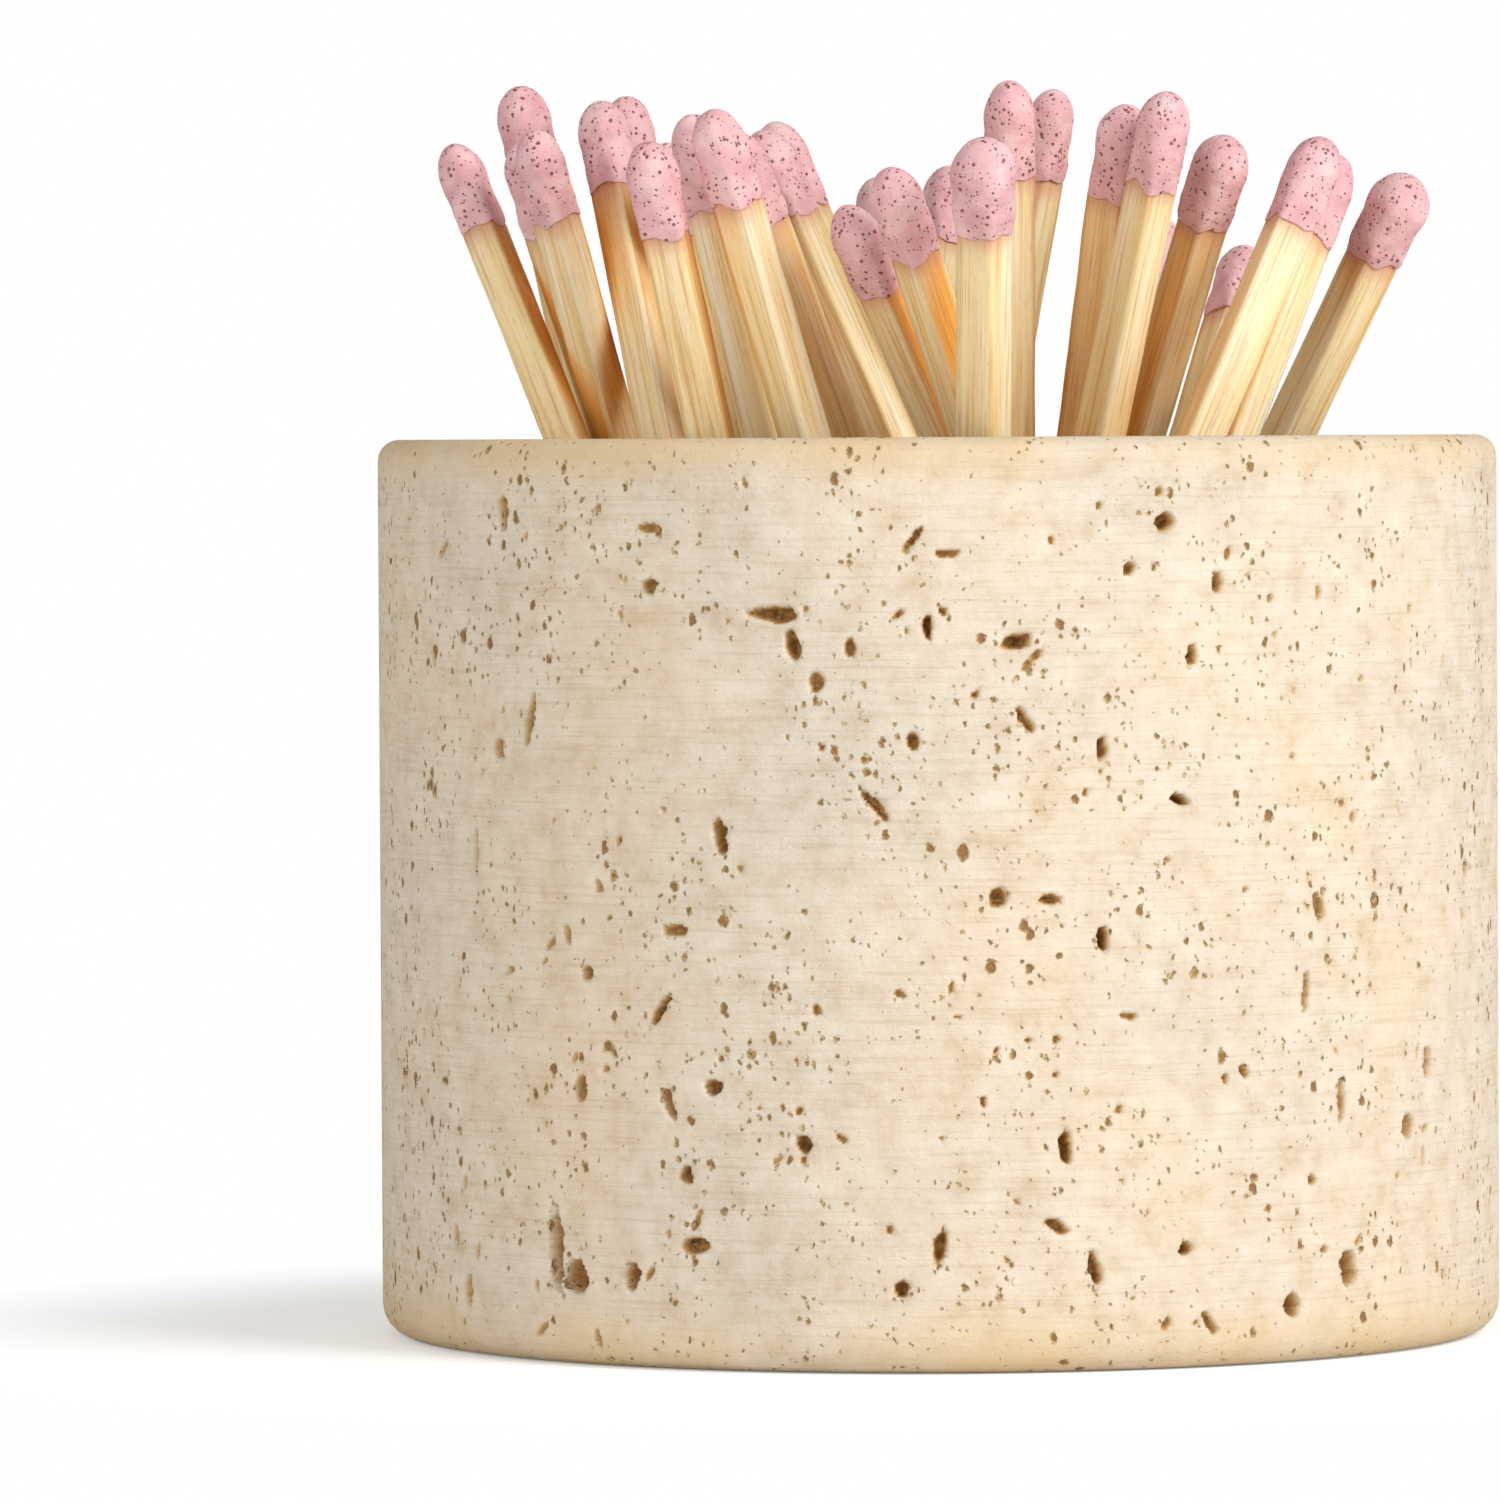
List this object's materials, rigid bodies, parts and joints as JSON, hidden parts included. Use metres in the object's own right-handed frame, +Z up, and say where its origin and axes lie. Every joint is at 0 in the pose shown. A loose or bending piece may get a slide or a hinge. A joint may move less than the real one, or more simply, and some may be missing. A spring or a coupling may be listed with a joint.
{
  "type": "match striker",
  "caption": "Round travertine cup with a blind bore that holds square wooden matches with pink dipped heads; the rough stone wall is the striking surface.",
  "frame": {"origin": "middle of the cup's base, on the surface it stands on", "axes": "+Z up along the cup's axis, -Y towards the viewer of the picture, +X to the right"},
  "size_m": [0.0635, 0.0641, 0.0711],
  "materials": {
    "travertine": "honed, unfilled pits",
    "splint_wood": "split, raw",
    "match_head": "matte, pored"
  },
  "bodies": {
    "root": {"cup": "travertine", "splint_01": "splint_wood", "head_01": "match_head", "splint_02": "splint_wood", "head_02": "match_head", "splint_03": "splint_wood", "head_03": "match_head", "splint_04": "splint_wood", "head_04": "match_head", "splint_05": "splint_wood", "head_05": "match_head", "splint_06": "splint_wood", "head_06": "match_head", "splint_07": "splint_wood", "head_07": "match_head", "splint_08": "splint_wood", "head_08": "match_head", "splint_09": "splint_wood", "head_09": "match_head", "splint_10": "splint_wood", "head_10": "match_head", "splint_11": "splint_wood", "head_11": "match_head", "splint_12": "splint_wood", "head_12": "match_head", "splint_13": "splint_wood", "head_13": "match_head", "splint_14": "splint_wood", "head_14": "match_head", "splint_15": "splint_wood", "head_15": "match_head", "splint_16": "splint_wood", "head_16": "match_head", "splint_17": "splint_wood", "head_17": "match_head", "splint_18": "splint_wood", "head_18": "match_head", "splint_19": "splint_wood", "head_19": "match_head", "splint_20": "splint_wood", "head_20": "match_head", "splint_21": "splint_wood", "head_21": "match_head", "splint_22": "splint_wood", "head_22": "match_head", "splint_23": "splint_wood", "head_23": "match_head", "splint_24": "splint_wood", "head_24": "match_head", "splint_25": "splint_wood", "head_25": "match_head", "splint_26": "splint_wood", "head_26": "match_head", "splint_27": "splint_wood", "head_27": "match_head", "splint_28": "splint_wood", "head_28": "match_head", "splint_29": "splint_wood", "head_29": "match_head"}
  },
  "joints": []
}
